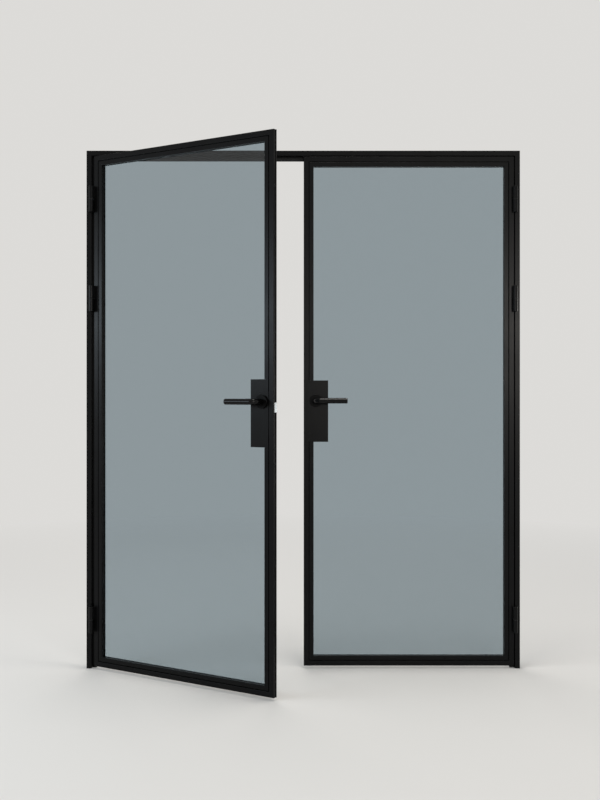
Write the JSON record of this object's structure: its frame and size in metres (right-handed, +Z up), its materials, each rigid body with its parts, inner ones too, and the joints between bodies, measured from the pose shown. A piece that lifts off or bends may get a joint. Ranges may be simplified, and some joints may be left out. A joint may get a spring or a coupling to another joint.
{
  "type": "french doors",
  "caption": "Slim black steel French doors with full-height glass, hung in a steel frame; the active leaf stands open, and levers work a latch and hidden shoot bolts.",
  "frame": {"origin": "on the floor, in the middle of the frame, in the plane of the front faces", "axes": "+X to the right seen from the front, +Y back through the doorway, +Z up"},
  "size_m": [1.758, 0.5526, 2.1],
  "materials": {
    "black_steel": "satin powder coat",
    "bright_steel": "satin",
    "glass": "clear laminated",
    "rubber": "matt",
    "block_plastic": "matt"
  },
  "bodies": {
    "frame": {"left_jamb": "black_steel", "right_jamb": "black_steel", "head": "black_steel", "left_jamb_seal": "rubber", "right_jamb_seal": "rubber", "head_seal": "rubber", "head_keep": "black_steel", "head_keep_screws": "black_steel", "left_frame_hinge_halves": "black_steel", "right_frame_hinge_halves": "black_steel", "hinge_pins": "bright_steel", "hinge_washers": "block_plastic"},
    "left_leaf": {"left_hinge_stile": "black_steel", "left_meeting_stile": "black_steel", "left_top_rail": "black_steel", "left_bottom_rail": "black_steel", "left_hinge_bead": "black_steel", "left_top_bead": "black_steel", "left_bottom_bead": "black_steel", "left_meeting_beads": "black_steel", "left_glass": "glass", "left_glazing_tapes": "rubber", "left_setting_blocks": "block_plastic", "left_lock_front_cover": "black_steel", "left_lock_rear_cover": "black_steel", "left_lock_case": "black_steel", "left_front_rose": "black_steel", "left_rear_rose": "black_steel", "left_rose_bolts": "bright_steel", "left_leaf_hinge_halves": "black_steel", "left_meeting_seal": "rubber"},
    "right_leaf": {"right_hinge_stile": "black_steel", "right_meeting_stile": "black_steel", "right_top_rail": "black_steel", "right_bottom_rail": "black_steel", "right_hinge_bead": "black_steel", "right_top_bead": "black_steel", "right_bottom_bead": "black_steel", "right_meeting_beads": "black_steel", "right_glass": "glass", "right_glazing_tapes": "rubber", "right_setting_blocks": "block_plastic", "right_lock_front_cover": "black_steel", "right_lock_rear_cover": "black_steel", "right_lock_case": "black_steel", "right_front_rose": "black_steel", "right_rear_rose": "black_steel", "right_rose_bolts": "bright_steel", "right_leaf_hinge_halves": "black_steel"},
    "left_lever": {"left_front_lever": "black_steel", "left_rear_lever": "black_steel", "left_spindle": "bright_steel", "left_follower": "bright_steel"},
    "left_latch": {"left_latch": "bright_steel"},
    "right_lever": {"right_front_lever": "black_steel", "right_rear_lever": "black_steel", "right_spindle": "bright_steel", "right_follower": "bright_steel"},
    "right_top_bolt": {"right_top_shoot_bolt": "bright_steel"},
    "right_bottom_bolt": {"right_bottom_shoot_bolt": "bright_steel"}
  },
  "joints": [
    {"name": "left_leaf_swing", "type": "hinge", "parent": "frame", "child": "left_leaf", "pos_m": [-0.857, -0.016, 1.0435], "axis": [0, 0, -1], "range_deg": [-30, 140]},
    {"name": "right_leaf_swing", "type": "hinge", "parent": "frame", "child": "right_leaf", "pos_m": [0.857, -0.016, 1.0435], "axis": [0, 0, 1], "range_deg": [0, 170]},
    {"name": "left_lever_turn", "type": "hinge", "parent": "left_leaf", "child": "left_lever", "pos_m": [-0.14785, -0.39771, 1.086], "axis": [-0.5, -0.866, 0], "range_deg": [0, 45], "stiffness_Nm_per_rad": 1.5, "springref_deg": -45.84},
    {"name": "left_latch_slide", "type": "slide", "parent": "left_leaf", "child": "left_latch", "axis": [-0.866, 0.5, 0], "range_m": [0, 0.0115]},
    {"name": "right_lever_turn", "type": "hinge", "parent": "right_leaf", "child": "right_lever", "pos_m": [0.052, 0.008, 1.086], "axis": [0, 1, 0], "range_deg": [0, 60]},
    {"name": "right_top_bolt_slide", "type": "slide", "parent": "right_leaf", "child": "right_top_bolt", "axis": [0, 0, 1], "range_m": [0, 0.0171]},
    {"name": "right_bottom_bolt_slide", "type": "slide", "parent": "right_leaf", "child": "right_bottom_bolt", "axis": [0, 0, -1], "range_m": [0, 0.0171]}
  ],
  "couplings": [
    {"joint": "left_latch_slide", "follows": "left_lever_turn", "m_per_rad": 0.014617},
    {"joint": "right_top_bolt_slide", "follows": "right_lever_turn", "m_per_rad": 0.016234},
    {"joint": "right_bottom_bolt_slide", "follows": "right_lever_turn", "m_per_rad": 0.016234}
  ]
}
